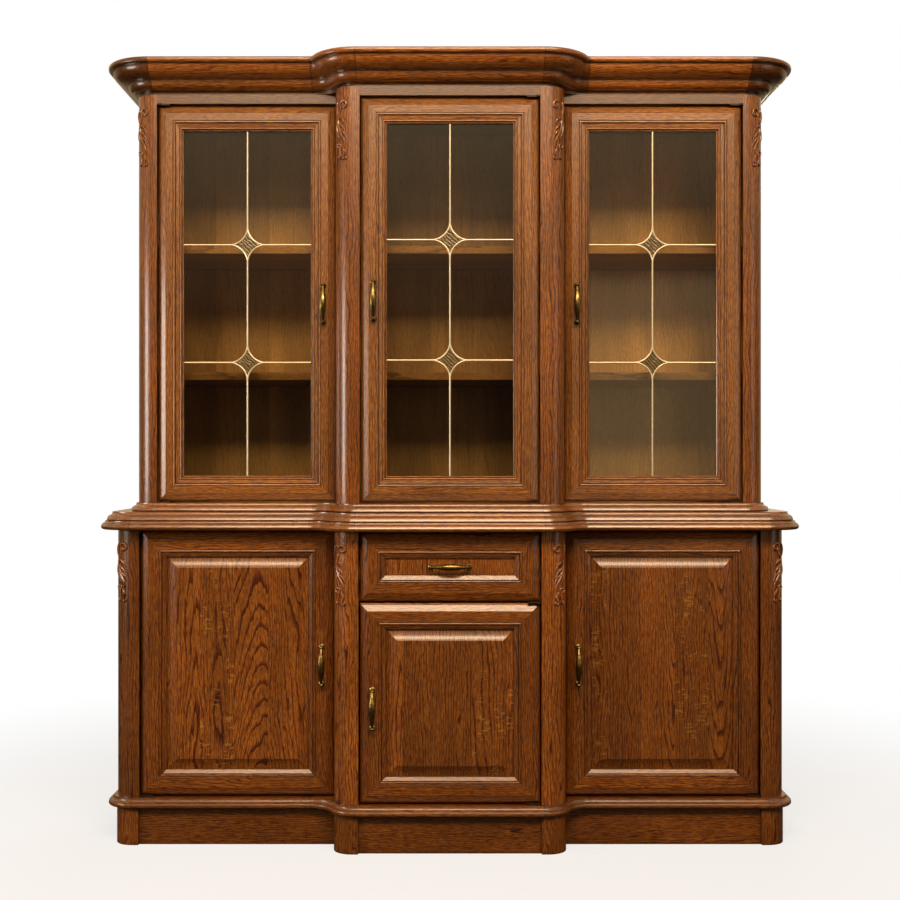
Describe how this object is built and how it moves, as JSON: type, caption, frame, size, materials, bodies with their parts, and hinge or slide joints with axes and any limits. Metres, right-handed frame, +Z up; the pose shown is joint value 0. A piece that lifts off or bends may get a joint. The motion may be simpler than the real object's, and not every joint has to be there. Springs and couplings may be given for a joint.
{
  "type": "dresser with hutch",
  "caption": "Breakfront oak dresser: cupboards and a drawer below a moulded counter, and a glazed display hutch with brass cames, wooden shelves and a deep cornice above.",
  "frame": {"origin": "on the floor, under the middle of the bounding box", "axes": "+Z up, +Y towards the back, +X to the right of someone facing the front"},
  "size_m": [1.83, 0.524, 2.033],
  "materials": {
    "stained_oak": "satin lacquer over brown stain",
    "oak_veneer": "matt veneered board",
    "drawer_wood": "clear matt lacquer",
    "antique_brass": "antiqued, satin",
    "brass_came": "satin",
    "clear_glass": "polished",
    "runner_steel": "zinc plated"
  },
  "bodies": {
    "carcass": {"plinth_blocks": "stained_oak", "plinth_boards": "stained_oak", "base_board": "stained_oak", "lower_end_posts": "stained_oak", "lower_break_posts": "stained_oak", "lower_sides": "stained_oak", "lower_dividers": "stained_oak", "lower_back": "oak_veneer", "lower_top_board": "stained_oak", "counter_board": "stained_oak", "hutch_base": "stained_oak", "upper_end_posts": "stained_oak", "upper_break_posts": "stained_oak", "upper_sides": "stained_oak", "upper_dividers": "stained_oak", "upper_back": "oak_veneer", "hutch_top": "stained_oak", "top_rails": "stained_oak", "cornice_front": "stained_oak", "cornice_returns": "stained_oak", "upper_shelves": "stained_oak", "lower_shelves": "stained_oak", "shelf_supports": "stained_oak", "hinge_brackets": "antique_brass", "drawer_rail": "stained_oak", "drawer_tracks": "runner_steel"},
    "lower_left_door": {"lower_left_door_frame": "stained_oak", "lower_left_door_panel": "stained_oak", "lower_left_door_handle": "antique_brass", "lower_left_door_hinge_leaves": "antique_brass"},
    "lower_centre_door": {"lower_centre_door_frame": "stained_oak", "lower_centre_door_panel": "stained_oak", "lower_centre_door_handle": "antique_brass", "lower_centre_door_hinge_leaves": "antique_brass"},
    "lower_right_door": {"lower_right_door_frame": "stained_oak", "lower_right_door_panel": "stained_oak", "lower_right_door_handle": "antique_brass", "lower_right_door_hinge_leaves": "antique_brass"},
    "upper_left_door": {"upper_left_door_frame": "stained_oak", "upper_left_door_glass": "clear_glass", "upper_left_door_cames": "brass_came", "upper_left_door_handle": "antique_brass", "upper_left_door_hinge_leaves": "antique_brass"},
    "upper_centre_door": {"upper_centre_door_frame": "stained_oak", "upper_centre_door_glass": "clear_glass", "upper_centre_door_cames": "brass_came", "upper_centre_door_handle": "antique_brass", "upper_centre_door_hinge_leaves": "antique_brass"},
    "upper_right_door": {"upper_right_door_frame": "stained_oak", "upper_right_door_glass": "clear_glass", "upper_right_door_cames": "brass_came", "upper_right_door_handle": "antique_brass", "upper_right_door_hinge_leaves": "antique_brass"},
    "drawer": {"drawer_front_frame": "stained_oak", "drawer_front_panel": "stained_oak", "drawer_handle": "antique_brass", "drawer_sides": "drawer_wood", "drawer_back": "drawer_wood", "drawer_bottom": "oak_veneer", "drawer_slides": "runner_steel"}
  },
  "joints": [
    {"name": "lower_left_door_hinge", "type": "hinge", "parent": "carcass", "child": "lower_left_door", "pos_m": [-0.7995, -0.14, 0.5], "axis": [0, 0, -1], "range_deg": [0, 100]},
    {"name": "lower_centre_door_hinge", "type": "hinge", "parent": "carcass", "child": "lower_centre_door", "pos_m": [0.2255, -0.22, 0.5], "axis": [0, 0, 1], "range_deg": [0, 100]},
    {"name": "lower_right_door_hinge", "type": "hinge", "parent": "carcass", "child": "lower_right_door", "pos_m": [0.7995, -0.14, 0.5], "axis": [0, 0, 1], "range_deg": [0, 100]},
    {"name": "upper_left_door_hinge", "type": "hinge", "parent": "carcass", "child": "upper_left_door", "pos_m": [-0.7635, -0.096, 1.4], "axis": [0, 0, -1], "range_deg": [0, 100]},
    {"name": "upper_centre_door_hinge", "type": "hinge", "parent": "carcass", "child": "upper_centre_door", "pos_m": [0.2255, -0.176, 1.4], "axis": [0, 0, 1], "range_deg": [0, 100]},
    {"name": "upper_right_door_hinge", "type": "hinge", "parent": "carcass", "child": "upper_right_door", "pos_m": [0.7635, -0.096, 1.4], "axis": [0, 0, 1], "range_deg": [0, 100]},
    {"name": "drawer_slide", "type": "slide", "parent": "carcass", "child": "drawer", "axis": [0, -1, 0], "range_m": [0, 0.3]}
  ]
}
